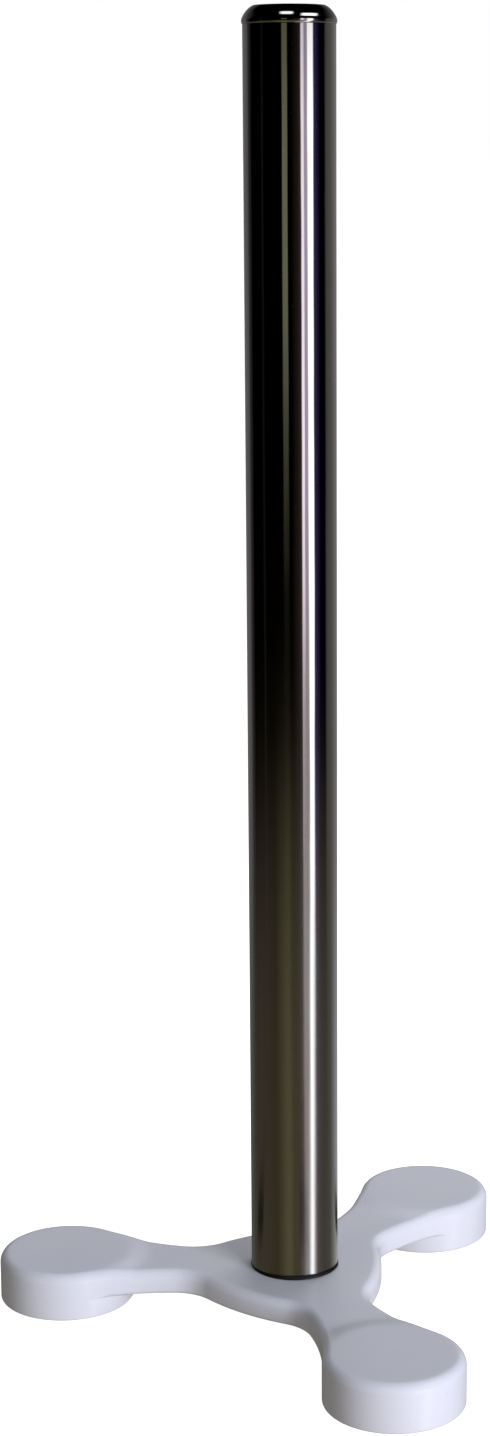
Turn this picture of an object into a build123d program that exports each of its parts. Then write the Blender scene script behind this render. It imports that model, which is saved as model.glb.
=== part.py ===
from build123d import *
import math
import os

os.makedirs("parts", exist_ok=True)

# Flag pole stand: a three-armed cast base, a stainless socket tube bolted upright
# on its hub, and a turned collar on top that guides the foot of the pole.
# Millimetres. The origin is on the floor, in the middle of the footprint's box,
# and +Z is up. One arm points along -X, so the tube stands a little towards +X.

# ---- driving dimensions -------------------------------------------------------

# flag pole that the stand takes
pole_d = 25.4
pole_clearance = 0.25

# socket tube
tube_od = 38.1
tube_wall = 1.2
tube_length = 533.0
tube_edge_break = 0.2

# levels of the base casting above the floor
casting_bottom = 0.8
arm_under = 9.4
arm_top = 20.1
pad_top = 21.6

# plan of the base casting: three arms, each ending in a round pad
arm_count = 3
arm_first_azimuth = 60.0
pad_centre_r = 102.5
pad_r = 29.7
neck_half_width = 15.0
neck_arc_r = 105.0
hub_side_distance = 38.3
hub_side_arc_r = 100.0
hub_corner_r = 20.0

# roundings of the base casting
top_edge_r = 4.2
arm_under_edge_r = 2.0
pad_under_edge_r = 1.0

# rubber foot pads, let into the underside of the pads
foot_pad_r = 22.0
foot_pad_gap = 0.2
foot_pad_thickness = 2.0
foot_pad_edge = 0.4

# joint between the tube and the casting
gasket_thickness = 0.5
gasket_overhang = 0.4
spigot_r = 12.0
spigot_length = 2.0
spigot_gap = 0.1
plug_length = 28.0
plug_gap = 0.03
plug_edge = 1.0
thread_depth = 25.0

# M10 fastening from beneath
bolt_r = 4.95
bolt_hole_r = 5.5
thread_hole_r = 5.0
bolt_length = 30.0
bolt_point = 1.0
bolt_head_across_flats = 17.0
bolt_head_height = 6.4
bolt_head_crown = 0.8
counterbore_r = 12.0
counterbore_depth = 4.0
flat_washer_r = 10.0
flat_washer_thickness = 2.0
washer_hole_r = 5.25
lock_washer_r = 9.05
lock_washer_thickness = 2.2
lock_washer_slot = 1.2

# seat for the pole's foot, at the bottom of the tube
seat_gap = 0.15
seat_floor = 4.0
seat_depth = 20.0
seat_lead_in = 2.0

# collar on the tube's top end
collar_spigot_length = 18.0
collar_spigot_gap = 0.05
collar_height = 7.4
collar_bulge_r = 19.5
collar_bulge_height = 1.5
collar_side_height = 2.3
collar_side_r = 19.3
collar_side_lean = math.radians(24)
collar_shoulder_height = 5.2
collar_shoulder_r = 17.5
collar_crest_r = 14.7
collar_lip_drop = 0.5
collar_bore_r = 14.2
collar_ledge_r = 13.4
collar_ledge_thickness = 2.0

# nylon liner in the collar
liner_length = 22.0
liner_gap = 0.02
liner_lead_in = 0.6

# ---- levels and radii that follow ---------------------------------------------

socket_x = pad_centre_r / 4
tube_r = tube_od / 2
tube_bore_r = tube_r - tube_wall
pole_bore_r = pole_d / 2 + pole_clearance
tube_bottom = arm_top + gasket_thickness
tube_top = tube_bottom + tube_length
spigot_bottom = tube_bottom - spigot_length
seat_bottom = tube_bottom + plug_length
washer_level = arm_under + counterbore_depth
bolt_head_top = washer_level - flat_washer_thickness - lock_washer_thickness
arm_azimuths = [arm_first_azimuth + k * 360 / arm_count for k in range(arm_count)]
pad_names = ["rear", "left", "front"]

# plan sketches are placed on socket_plane, and turned profiles on section_plane
socket_plane = Plane(origin=(socket_x, 0, 0))
section_plane = Plane(origin=(socket_x, 0, 0), x_dir=(1, 0, 0), z_dir=(0, -1, 0))
socket_axis = Axis((socket_x, 0, 0), (0, 0, 1))


def finish(piece, node):
    """Name a finished piece and write its STEP."""
    piece.part.label = node
    export_step(piece.part, f"parts/{node}.step")


def turned(point, azimuth):
    """A plan point turned about the stand's axis."""
    return Vector(*point).rotate(Axis.Z, azimuth)


def between(start, end, centre):
    """The middle of the shorter arc from start to end about centre."""
    middle = (start + end) * 0.5 - centre
    return centre + middle.normalized() * (start - centre).length


# ---- base casting -------------------------------------------------------------
# One half of an arm runs out from the side of the hub: a slightly bowed hub side, a
# hollow corner, a long hollow neck, and the round pad, each tangent to the next.

neck_centre = Vector(
    pad_centre_r - math.sqrt((neck_arc_r + pad_r) ** 2 - (neck_arc_r + neck_half_width) ** 2),
    neck_half_width + neck_arc_r,
)
notch = turned((1, 0), 180 / arm_count)
hub_side_centre = notch * (hub_side_distance - hub_side_arc_r)
pad_centre = Vector(pad_centre_r, 0)


def crossing(centre_a, radius_a, centre_b, radius_b):
    """Where two circles cross, at the point nearer the arm's own line."""
    apart = centre_b - centre_a
    along = (apart.length**2 + radius_a**2 - radius_b**2) / (2 * apart.length)
    across = math.sqrt(radius_a**2 - along**2)
    foot = centre_a + apart.normalized() * along
    side = apart.normalized().rotate(Axis.Z, 90) * across
    return min(foot + side, foot - side, key=lambda point: abs(point.Y))


corner_centre = crossing(
    neck_centre, neck_arc_r - hub_corner_r, hub_side_centre, hub_side_arc_r + hub_corner_r
)
corner_at_neck = corner_centre + (corner_centre - neck_centre).normalized() * hub_corner_r
corner_at_hub = corner_centre + (hub_side_centre - corner_centre).normalized() * hub_corner_r
neck_at_pad = pad_centre + (neck_centre - pad_centre).normalized() * pad_r


def flipped(point):
    """A plan point mirrored across the arm's own line."""
    return Vector(point.X, -point.Y)


with BuildPart() as arm_plate:
    with BuildSketch(socket_plane.offset(arm_under)):
        with BuildLine():
            for azimuth in arm_azimuths:
                hub_point = corner_at_hub.rotate(Axis.Z, azimuth)
                neck_point = corner_at_neck.rotate(Axis.Z, azimuth)
                pad_point = neck_at_pad.rotate(Axis.Z, azimuth)
                far_pad_point = flipped(neck_at_pad).rotate(Axis.Z, azimuth)
                far_neck_point = flipped(corner_at_neck).rotate(Axis.Z, azimuth)
                far_hub_point = flipped(corner_at_hub).rotate(Axis.Z, azimuth)
                next_hub_point = flipped(corner_at_hub).rotate(Axis.Z, azimuth + 360 / arm_count)
                corner_turn = corner_centre.rotate(Axis.Z, azimuth)
                far_corner_turn = flipped(corner_centre).rotate(Axis.Z, azimuth)
                neck_turn = neck_centre.rotate(Axis.Z, azimuth)
                far_neck_turn = flipped(neck_centre).rotate(Axis.Z, azimuth)
                hub_turn = hub_side_centre.rotate(Axis.Z, azimuth)
                pad_tip = turned((pad_centre_r + pad_r, 0), azimuth)
                ThreePointArc(
                    far_hub_point, between(far_hub_point, far_neck_point, far_corner_turn), far_neck_point
                )
                ThreePointArc(
                    far_neck_point, between(far_neck_point, far_pad_point, far_neck_turn), far_pad_point
                )
                ThreePointArc(far_pad_point, pad_tip, pad_point)
                ThreePointArc(pad_point, between(pad_point, neck_point, neck_turn), neck_point)
                ThreePointArc(neck_point, between(neck_point, hub_point, corner_turn), hub_point)
                ThreePointArc(hub_point, between(hub_point, next_hub_point, hub_turn), next_hub_point)
        make_face()
    extrude(amount=arm_top - arm_under)
    fillet(arm_plate.edges().group_by(Axis.Z)[-1], radius=top_edge_r)
    fillet(arm_plate.edges().group_by(Axis.Z)[0], radius=arm_under_edge_r)

with BuildPart() as round_pad:
    with BuildSketch(Plane.XZ):
        with BuildLine():
            Polyline(
                (0, casting_bottom),
                (pad_r, casting_bottom),
                (pad_r, pad_top),
                (0, pad_top),
                close=True,
            )
        make_face()
    revolve(axis=Axis.Z)
    fillet(round_pad.edges().group_by(Axis.Z)[-1], radius=top_edge_r)
    fillet(round_pad.edges().group_by(Axis.Z)[0], radius=pad_under_edge_r)

with BuildPart() as base_casting:
    add(arm_plate)
    for azimuth in arm_azimuths:
        centre = turned((pad_centre_r, 0), azimuth)
        with Locations((socket_x + centre.X, centre.Y, 0)):
            add(round_pad.part)
    with BuildSketch(socket_plane.offset(casting_bottom)):
        with PolarLocations(pad_centre_r, arm_count, start_angle=arm_first_azimuth):
            Circle(foot_pad_r + foot_pad_gap)
    extrude(amount=foot_pad_thickness - casting_bottom, mode=Mode.SUBTRACT)
    with BuildSketch(socket_plane.offset(arm_under)):
        Circle(counterbore_r)
    extrude(amount=counterbore_depth, mode=Mode.SUBTRACT)
    with BuildSketch(socket_plane.offset(arm_under)):
        Circle(bolt_hole_r)
    extrude(amount=arm_top - arm_under, mode=Mode.SUBTRACT)
    with BuildSketch(socket_plane.offset(spigot_bottom - spigot_gap)):
        Circle(spigot_r + spigot_gap)
    extrude(amount=arm_top - spigot_bottom + spigot_gap, mode=Mode.SUBTRACT)
finish(base_casting, "base_casting")

# ---- foot pads ----------------------------------------------------------------
# Black rubber discs glued into the recesses; only they touch the floor.

for pad_name, azimuth in zip(pad_names, arm_azimuths):
    centre = turned((pad_centre_r, 0), azimuth)
    with BuildPart() as foot_pad:
        with BuildSketch(socket_plane):
            with Locations((centre.X, centre.Y)):
                Circle(foot_pad_r)
        extrude(amount=foot_pad_thickness)
        chamfer(foot_pad.edges().group_by(Axis.Z)[0], length=foot_pad_edge)
    finish(foot_pad, f"foot_pad_{pad_name}")

# ---- gasket -------------------------------------------------------------------
# A thin rubber ring between the tube's end and the casting.

with BuildPart() as base_gasket:
    with BuildSketch(socket_plane.offset(arm_top)):
        Circle(tube_r + gasket_overhang)
        Circle(spigot_r + spigot_gap, mode=Mode.SUBTRACT)
    extrude(amount=gasket_thickness)
finish(base_gasket, "base_gasket")

# ---- tube plug ----------------------------------------------------------------
# A turned steel plug bonded into the tube's lower end. Its spigot centres the tube
# on the casting, and its blind thread takes the bolt.

with BuildPart() as tube_plug:
    with BuildSketch(section_plane):
        with BuildLine():
            Polyline(
                (0, spigot_bottom),
                (spigot_r, spigot_bottom),
                (spigot_r, tube_bottom),
                (tube_bore_r - plug_gap, tube_bottom),
                (tube_bore_r - plug_gap, seat_bottom - plug_edge),
                (tube_bore_r - plug_gap - plug_edge, seat_bottom),
                (0, seat_bottom),
                close=True,
            )
        make_face()
    revolve(axis=socket_axis)
    with BuildSketch(socket_plane.offset(spigot_bottom)):
        Circle(thread_hole_r)
    extrude(amount=thread_depth, mode=Mode.SUBTRACT)
finish(tube_plug, "tube_plug")

# ---- fastening from beneath ---------------------------------------------------
# Flat washer against the casting, split lock washer, then the hexagon bolt.

with BuildPart() as flat_washer:
    with BuildSketch(socket_plane.offset(washer_level - flat_washer_thickness)):
        Circle(flat_washer_r)
        Circle(washer_hole_r, mode=Mode.SUBTRACT)
    extrude(amount=flat_washer_thickness)
finish(flat_washer, "flat_washer")

with BuildPart() as lock_washer:
    with BuildSketch(socket_plane.offset(bolt_head_top)):
        Circle(lock_washer_r)
        Circle(washer_hole_r, mode=Mode.SUBTRACT)
        with Locations((lock_washer_r, 0)):
            Rectangle(2 * lock_washer_r, lock_washer_slot, mode=Mode.SUBTRACT)
    extrude(amount=lock_washer_thickness)
finish(lock_washer, "lock_washer")

bolt_corner_r = bolt_head_across_flats / math.sqrt(3)

with BuildPart() as draw_bolt:
    with BuildSketch(socket_plane.offset(bolt_head_top)):
        RegularPolygon(radius=bolt_corner_r, side_count=6)
    extrude(amount=-bolt_head_height)
    with BuildSketch(section_plane):
        with BuildLine():
            Polyline(
                (0, bolt_head_top - bolt_head_height),
                (bolt_head_across_flats / 2 - bolt_head_crown, bolt_head_top - bolt_head_height),
                (bolt_corner_r, bolt_head_top - bolt_head_height + bolt_head_crown),
                (bolt_corner_r, bolt_head_top),
                (0, bolt_head_top),
                close=True,
            )
        make_face()
    revolve(axis=socket_axis, mode=Mode.INTERSECT)
    with BuildSketch(socket_plane.offset(bolt_head_top)):
        Circle(bolt_r)
    extrude(amount=bolt_length)
    chamfer(draw_bolt.edges().group_by(Axis.Z)[-1], length=bolt_point)
finish(draw_bolt, "draw_bolt")

# ---- socket tube --------------------------------------------------------------
# Straight welded stainless tube, ground and polished along its length.

with BuildPart() as socket_tube:
    with BuildSketch(socket_plane.offset(tube_bottom)):
        Circle(tube_r)
        Circle(tube_bore_r, mode=Mode.SUBTRACT)
    extrude(amount=tube_length)
    chamfer(
        socket_tube.edges().filter_by(GeomType.CIRCLE).group_by(SortBy.RADIUS)[-1],
        length=tube_edge_break,
    )
finish(socket_tube, "socket_tube")

# ---- pole seat ----------------------------------------------------------------
# A moulded cup that rests on the plug and centres the foot of the pole.

seat_top = seat_bottom + seat_floor + seat_depth

with BuildPart() as pole_seat:
    with BuildSketch(section_plane):
        with BuildLine():
            Polyline(
                (0, seat_bottom),
                (tube_bore_r - seat_gap, seat_bottom),
                (tube_bore_r - seat_gap, seat_top),
                (pole_bore_r + seat_lead_in, seat_top),
                (pole_bore_r, seat_top - seat_lead_in),
                (pole_bore_r, seat_bottom + seat_floor),
                (0, seat_bottom + seat_floor),
                close=True,
            )
        make_face()
    revolve(axis=socket_axis)
finish(pole_seat, "pole_seat")

# ---- top collar ---------------------------------------------------------------
# Turned stainless collar: a spigot in the tube, a bead that stands just proud of the
# tube, a tapered side that rounds over at the top, and a lip that rolls into the bore.

collar_top = tube_top + collar_height
collar_bottom = tube_top - collar_spigot_length
collar_spigot_r = tube_bore_r - collar_spigot_gap

with BuildPart() as top_collar:
    with BuildSketch(section_plane):
        with BuildLine():
            Polyline(
                (collar_bore_r, collar_top - collar_lip_drop),
                (collar_bore_r, collar_bottom + collar_ledge_thickness),
                (collar_ledge_r, collar_bottom + collar_ledge_thickness),
                (collar_ledge_r, collar_bottom),
                (collar_spigot_r, collar_bottom),
                (collar_spigot_r, tube_top),
                (tube_r, tube_top),
            )
            EllipticalCenterArc(
                (tube_r, tube_top + collar_bulge_height),
                collar_bulge_r - tube_r,
                collar_bulge_height,
                start_angle=270,
                arc_size=90,
            )
            Line(
                (collar_bulge_r, tube_top + collar_bulge_height),
                (collar_side_r, tube_top + collar_side_height),
            )
            tapered_side = TangentArc(
                (collar_side_r, tube_top + collar_side_height),
                (collar_shoulder_r, tube_top + collar_shoulder_height),
                tangent=(-math.sin(collar_side_lean), math.cos(collar_side_lean)),
            )
            TangentArc(tapered_side @ 1, (collar_crest_r, collar_top), tangent=tapered_side % 1)
            EllipticalCenterArc(
                (collar_crest_r, collar_top - collar_lip_drop),
                collar_crest_r - collar_bore_r,
                collar_lip_drop,
                start_angle=90,
                arc_size=90,
            )
        make_face()
    revolve(axis=socket_axis)
finish(top_collar, "top_collar")

# ---- collar liner -------------------------------------------------------------
# Black nylon bush in the collar; the pole slides through it.

liner_bottom = collar_bottom + collar_ledge_thickness
liner_top = liner_bottom + liner_length

with BuildPart() as collar_liner:
    with BuildSketch(section_plane):
        with BuildLine():
            Polyline(
                (pole_bore_r, liner_bottom),
                (collar_bore_r - liner_gap, liner_bottom),
                (collar_bore_r - liner_gap, liner_top),
                (pole_bore_r + liner_lead_in, liner_top),
                (pole_bore_r, liner_top - liner_lead_in),
                close=True,
            )
        make_face()
    revolve(axis=socket_axis)
finish(collar_liner, "collar_liner")
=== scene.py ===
import math

import bmesh
import bpy
import numpy as np
from mathutils import Matrix, Vector, geometry


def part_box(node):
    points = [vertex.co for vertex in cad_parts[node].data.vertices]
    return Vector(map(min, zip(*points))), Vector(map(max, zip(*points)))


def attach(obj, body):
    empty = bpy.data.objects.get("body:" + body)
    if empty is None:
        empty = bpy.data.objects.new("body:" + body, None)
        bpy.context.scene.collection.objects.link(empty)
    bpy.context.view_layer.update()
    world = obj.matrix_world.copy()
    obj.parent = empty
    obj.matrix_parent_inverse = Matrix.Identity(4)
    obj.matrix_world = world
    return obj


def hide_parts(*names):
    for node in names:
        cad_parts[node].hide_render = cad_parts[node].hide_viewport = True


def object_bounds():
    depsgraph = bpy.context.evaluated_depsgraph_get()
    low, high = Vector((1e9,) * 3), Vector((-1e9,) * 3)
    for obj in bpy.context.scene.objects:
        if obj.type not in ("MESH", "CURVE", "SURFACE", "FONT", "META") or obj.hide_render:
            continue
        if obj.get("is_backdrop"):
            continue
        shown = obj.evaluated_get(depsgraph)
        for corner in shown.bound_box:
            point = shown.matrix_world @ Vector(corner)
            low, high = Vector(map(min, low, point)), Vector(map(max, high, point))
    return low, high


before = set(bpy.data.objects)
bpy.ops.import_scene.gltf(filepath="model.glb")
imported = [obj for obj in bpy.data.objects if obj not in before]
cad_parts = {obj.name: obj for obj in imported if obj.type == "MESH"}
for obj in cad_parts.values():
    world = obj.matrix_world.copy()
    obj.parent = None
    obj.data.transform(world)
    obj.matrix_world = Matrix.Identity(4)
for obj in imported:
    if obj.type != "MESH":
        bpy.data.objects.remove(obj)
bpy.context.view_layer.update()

# ---- camera ---------------------------------------------------------------------
# A portrait lens a little below the collar, looking slightly down along the tube, so
# that the base shows from above and the collar from just beneath.

tube_low, tube_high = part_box("socket_tube")
tube_axis = (tube_low + tube_high) / 2
tube_axis.z = 0

camera_distance = 1.1063
camera_height = 0.5082
camera_azimuth = math.radians(6.73)
camera_heading = math.radians(0.40)
camera_pitch = math.radians(11.28)
camera_roll = math.radians(-0.18)
camera_lens = 66.79
camera_shift_x = -0.0455
camera_shift_y = -0.0334


def level_direction(azimuth):
    """Unit vector along the floor; azimuth 0 is along +Y, and it grows towards +X."""
    return Vector((math.sin(azimuth), math.cos(azimuth), 0))


camera_data = bpy.data.cameras.new("stand_camera")
camera_data.sensor_width = 36
camera_data.lens = camera_lens
camera_data.shift_x = camera_shift_x
camera_data.shift_y = camera_shift_y
camera_data.clip_start = 0.05
camera_data.clip_end = 200
camera = bpy.data.objects.new("stand_camera", camera_data)
bpy.context.scene.collection.objects.link(camera)
bpy.context.scene.camera = camera

look = level_direction(camera_heading - camera_azimuth) * math.cos(camera_pitch)
look.z = -math.sin(camera_pitch)
right = level_direction(camera_heading - camera_azimuth + math.pi / 2)
up = right.cross(look)
rolled_right = right * math.cos(camera_roll) + up * math.sin(camera_roll)
rolled_up = up * math.cos(camera_roll) - right * math.sin(camera_roll)
camera_place = tube_axis - level_direction(-camera_azimuth) * camera_distance
camera_place.z = camera_height
camera_turn = Matrix((rolled_right, rolled_up, -look)).transposed().to_4x4()
camera.matrix_world = Matrix.Translation(camera_place) @ camera_turn
bpy.context.scene.view_settings.view_transform = "Standard"

# ---- studio ---------------------------------------------------------------------
# White paper on the floor, a tall soft window to the right of the camera, a small soft
# light behind the stand, pale light from above and below, and a dim room with two
# lamps, which only polished surfaces show.

floor_half_size = 60.0
floor_glow = 0.88
light_above = (0.195, 0.204, 0.216)
light_below = (0.29, 0.265, 0.225)

# What stands round the room. Each place is where it shows across the width of an
# upright round mirror, from 0 at the mirror's left edge to 1 at its right.
room_level = [
    (0.000, (0.165, 0.158, 0.158)),
    (0.050, (0.10, 0.095, 0.095)),
    (0.060, (0.035, 0.033, 0.033)),
    (0.080, (0.016, 0.015, 0.015)),
    (0.092, (0.0, 0.0, 0.0)),
    (0.190, (0.0, 0.0, 0.0)),
    (0.205, (0.010, 0.010, 0.010)),
    (0.220, (0.0, 0.0, 0.0)),
    (0.510, (0.0, 0.0, 0.0)),
    (0.530, (0.006, 0.003, 0.003)),
    (0.585, (0.020, 0.014, 0.012)),
    (0.614, (0.050, 0.036, 0.040)),
    (0.624, (1.45, 1.28, 1.40)),
    (0.645, (1.45, 1.28, 1.40)),
    (0.653, (0.52, 0.43, 0.53)),
    (0.682, (0.58, 0.48, 0.60)),
    (0.692, (2.0, 1.92, 1.98)),
    (0.742, (2.0, 1.94, 2.0)),
    (0.752, (0.050, 0.036, 0.11)),
    (0.795, (0.014, 0.008, 0.036)),
    (0.818, (0.0, 0.0, 0.004)),
    (0.868, (0.0, 0.0, 0.0)),
    (0.885, (0.075, 0.072, 0.062)),
    (0.940, (0.12, 0.115, 0.105)),
    (1.000, (0.24, 0.24, 0.24)),
]
room_low = [
    (0.000, (0.10, 0.098, 0.080)),
    (0.055, (0.070, 0.062, 0.044)),
    (0.130, (0.074, 0.064, 0.044)),
    (0.200, (0.072, 0.056, 0.036)),
    (0.300, (0.064, 0.052, 0.027)),
    (0.400, (0.130, 0.116, 0.062)),
    (0.450, (0.140, 0.122, 0.066)),
    (0.510, (0.092, 0.082, 0.040)),
    (0.570, (0.100, 0.088, 0.066)),
    (0.612, (0.160, 0.145, 0.125)),
    (0.640, (0.260, 0.230, 0.210)),
    (0.682, (0.360, 0.330, 0.320)),
    (0.704, (2.0, 1.98, 1.98)),
    (0.727, (2.0, 2.0, 2.0)),
    (0.747, (0.200, 0.190, 0.185)),
    (0.800, (0.115, 0.098, 0.082)),
    (0.860, (0.095, 0.080, 0.062)),
    (0.930, (0.100, 0.094, 0.078)),
    (1.000, (0.50, 0.50, 0.50)),
]
green_strip = (0.19, 0.19, 0.115)
green_strip_edges = (0.412, 0.423, 0.467, 0.478)
dim_doorway = (0.38, 0.35, 0.345)
doorway_edges = (0.612, 0.626, 0.690, 0.700)
pale_wall = (0.12, 0.115, 0.12)
lamp_white = (3.0, 3.0, 3.0)
# each lamp's edges, by how far a mirror faces sideways and then upwards to show it
lamp_edges = [
    ((-0.19, -0.11, 0.03, 0.09), (0.485, 0.535, 0.545, 0.585)),
    ((0.20, 0.28, 0.48, 0.54), (0.425, 0.475, 0.500, 0.540)),
]


def empty_tree(owner):
    """The node tree of a material or the world, emptied."""
    owner.use_nodes = True
    owner.node_tree.nodes.clear()
    return owner.node_tree


def opaque(colour):
    """A colour with full alpha."""
    return (*colour, 1.0)


def feed(tree, socket, value):
    """Links a socket to an input, or sets the input to a number, vector or colour."""
    if isinstance(value, bpy.types.NodeSocket):
        tree.links.new(value, socket)
    elif socket.type == "RGBA":
        socket.default_value = opaque(value)
    else:
        socket.default_value = value


def calc(tree, operation, *values):
    """The result of a Math node on sockets or numbers."""
    made = tree.nodes.new("ShaderNodeMath")
    made.operation = operation
    for socket, value in zip(made.inputs, values):
        feed(tree, socket, value)
    return made.outputs[0]


def blended(tree, factor, first, second):
    """Two colours, sockets or plain, mixed by a factor."""
    made = tree.nodes.new("ShaderNodeMix")
    made.data_type = "RGBA"
    feed(tree, made.inputs[0], factor)
    feed(tree, made.inputs[6], first)
    feed(tree, made.inputs[7], second)
    return made.outputs[2]


def graded(tree, factor, stops):
    """A colour that runs through (position, colour) stops."""
    made = tree.nodes.new("ShaderNodeValToRGB")
    elements = made.color_ramp.elements
    while len(elements) < len(stops):
        elements.new(0.5)
    for element, (position, colour) in zip(elements, stops):
        element.position = position
        element.color = opaque(colour)
    feed(tree, made.inputs["Fac"], factor)
    return made.outputs["Color"]


def rising(tree, value, low, high, start=0.0, end=1.0):
    """start where value is low, end where it is high, and an even slope between."""
    made = tree.nodes.new("ShaderNodeMapRange")
    settings = (value, low, high, start, end)
    names = ("Value", "From Min", "From Max", "To Min", "To Max")
    for name, setting in zip(names, settings):
        feed(tree, made.inputs[name], setting)
    return made.outputs["Result"]


def banded(tree, value, edges):
    """1 while the value is between the middle two edges, fading to 0 at the outer two."""
    outer_low, low, high, outer_high = edges
    return calc(tree, "MULTIPLY", rising(tree, value, outer_low, low), rising(tree, value, outer_high, high))


world = bpy.data.worlds.new("studio")
bpy.context.scene.world = world
world.cycles.sampling_method = "NONE"
tree = empty_tree(world)
sky_point = tree.nodes.new("ShaderNodeTexCoord")
compass = tree.nodes.new("ShaderNodeVectorRotate")
compass.rotation_type = "Z_AXIS"
# after this turn +X points from the stand to the camera
compass.inputs["Angle"].default_value = math.pi / 2 - camera_azimuth
feed(tree, compass.inputs["Vector"], sky_point.outputs["Generated"])
parts = tree.nodes.new("ShaderNodeSeparateXYZ")
feed(tree, parts.inputs["Vector"], compass.outputs["Vector"])
rise = parts.outputs["Z"]
round_angle = calc(tree, "ARCTAN2", parts.outputs["Y"], parts.outputs["X"])
half_turn = calc(tree, "SINE", calc(tree, "MULTIPLY", round_angle, 0.5))
mirror_place = calc(tree, "MULTIPLY_ADD", half_turn, 0.5, 0.5)

# at eye level: the dark room, with a green strip that fades out towards the floor
strip_height = calc(tree, "POWER", rising(tree, rise, -0.14, 0.03), 1.6)
strip = calc(tree, "MULTIPLY", banded(tree, mirror_place, green_strip_edges), strip_height)
room = blended(tree, strip, graded(tree, mirror_place, room_level), green_strip)
# a doorway beside the bright window dims towards the floor
doorway_height = rising(tree, rise, -0.13, -0.21)
doorway = calc(tree, "MULTIPLY", banded(tree, mirror_place, doorway_edges), doorway_height)
room = blended(tree, doorway, room, dim_doorway)
# towards the floor: a warm brown carpet
carpet_height = calc(tree, "POWER", rising(tree, rise, -0.235, -0.38), 1.5)
room = blended(tree, carpet_height, room, graded(tree, mirror_place, room_low))
# higher up: a dark ceiling, and a pale wall behind the stand
behind = rising(tree, calc(tree, "ABSOLUTE", half_turn), 0.80, 0.97)
behind = calc(tree, "MULTIPLY", behind, rising(tree, rise, 0.62, 0.30))
ceiling = blended(tree, behind, (0.0, 0.0, 0.0), pale_wall)
room = blended(tree, rising(tree, rise, 0.15, 0.28), room, ceiling)
# the lamps, placed by the way a small mirror on the stand must face to show them
halfway = tree.nodes.new("ShaderNodeVectorMath")
halfway.operation = "ADD"
feed(tree, halfway.inputs[0], compass.outputs["Vector"])
halfway.inputs[1].default_value = (1.0, 0.0, 0.0)
facing = tree.nodes.new("ShaderNodeVectorMath")
facing.operation = "NORMALIZE"
feed(tree, facing.inputs[0], halfway.outputs[0])
mirror_parts = tree.nodes.new("ShaderNodeSeparateXYZ")
feed(tree, mirror_parts.inputs["Vector"], facing.outputs[0])
for side_edges, tilt_edges in lamp_edges:
    across = banded(tree, mirror_parts.outputs["Y"], side_edges)
    upward = banded(tree, mirror_parts.outputs["Z"], tilt_edges)
    room = blended(tree, calc(tree, "MULTIPLY", across, upward), room, lamp_white)

# the light on painted surfaces, and plain white for the background
soft_light = blended(tree, rising(tree, rise, -0.25, 0.35), light_below, light_above)
rays = tree.nodes.new("ShaderNodeLightPath")
seen = blended(tree, rays.outputs["Is Glossy Ray"], soft_light, room)
seen = blended(tree, rays.outputs["Is Camera Ray"], seen, (1.0, 1.0, 1.0))
background = tree.nodes.new("ShaderNodeBackground")
feed(tree, background.inputs["Color"], seen)
world_end = tree.nodes.new("ShaderNodeOutputWorld")
feed(tree, world_end.inputs["Surface"], background.outputs["Background"])


def soft_lamp(name, azimuth, elevation, distance, size, power, colour):
    """A rectangular light aimed at the stand's foot; azimuth 0 is at the camera."""
    lamp_data = bpy.data.lights.new(name, "AREA")
    lamp_data.shape = "RECTANGLE"
    lamp_data.size = size[0]
    lamp_data.size_y = size[1]
    lamp_data.energy = power
    lamp_data.color = colour
    lamp = bpy.data.objects.new(name, lamp_data)
    bpy.context.scene.collection.objects.link(lamp)
    side = -level_direction(-camera_azimuth - azimuth) * math.cos(elevation)
    side.z = math.sin(elevation)
    lamp.location = tube_axis + side * distance
    lamp.rotation_mode = "QUATERNION"
    lamp.rotation_quaternion = side.to_track_quat("Z", "Y")
    lamp.visible_glossy = False
    lamp.visible_camera = False


soft_lamp(
    "window_light",
    azimuth=math.radians(38),
    elevation=math.radians(12),
    distance=3.8,
    size=(1.6, 2.2),
    power=172,
    colour=(0.85, 0.875, 1.0),
)
soft_lamp(
    "back_light",
    azimuth=math.radians(162),
    elevation=math.radians(45),
    distance=0.8,
    size=(0.5, 0.4),
    power=2.1,
    colour=(0.95, 0.96, 1.0),
)


def new_material(name):
    """A material with a Principled shader, and its tree, shader and object coordinates."""
    material = bpy.data.materials.new(name)
    tree = empty_tree(material)
    shader = tree.nodes.new("ShaderNodeBsdfPrincipled")
    end = tree.nodes.new("ShaderNodeOutputMaterial")
    tree.links.new(shader.outputs["BSDF"], end.inputs["Surface"])
    coordinates = tree.nodes.new("ShaderNodeTexCoord")
    return material, tree, shader, coordinates.outputs["Object"]


def noise(tree, vector, scale, detail=2.0, roughness=0.5):
    """The grey value of a Noise texture."""
    made = tree.nodes.new("ShaderNodeTexNoise")
    feed(tree, made.inputs["Vector"], vector)
    feed(tree, made.inputs["Scale"], scale)
    made.inputs["Detail"].default_value = detail
    made.inputs["Roughness"].default_value = roughness
    return made.outputs["Fac"]


paper, tree, shader, place = new_material("white_paper")
fibres = noise(tree, place, 400.0, detail=3.0)
feed(tree, shader.inputs["Base Color"], graded(tree, fibres, [(0.3, (0.90,) * 3), (0.7, (0.94,) * 3)]))
shader.inputs["Roughness"].default_value = 0.9
shader.inputs["Specular IOR Level"].default_value = 0.1
shader.inputs["Emission Color"].default_value = opaque((1.0, 1.0, 1.0))
shader.inputs["Emission Strength"].default_value = floor_glow
floor_mesh = bpy.data.meshes.new("paper_floor")
floor_corners = [(-1, -1, 0), (1, -1, 0), (1, 1, 0), (-1, 1, 0)]
floor_mesh.from_pydata([Vector(c) * floor_half_size for c in floor_corners], [], [(0, 1, 2, 3)])
floor_mesh.materials.append(paper)
paper_floor = bpy.data.objects.new("paper_floor", floor_mesh)
bpy.context.scene.collection.objects.link(paper_floor)
paper_floor.visible_glossy = False
paper_floor.visible_diffuse = False
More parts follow.
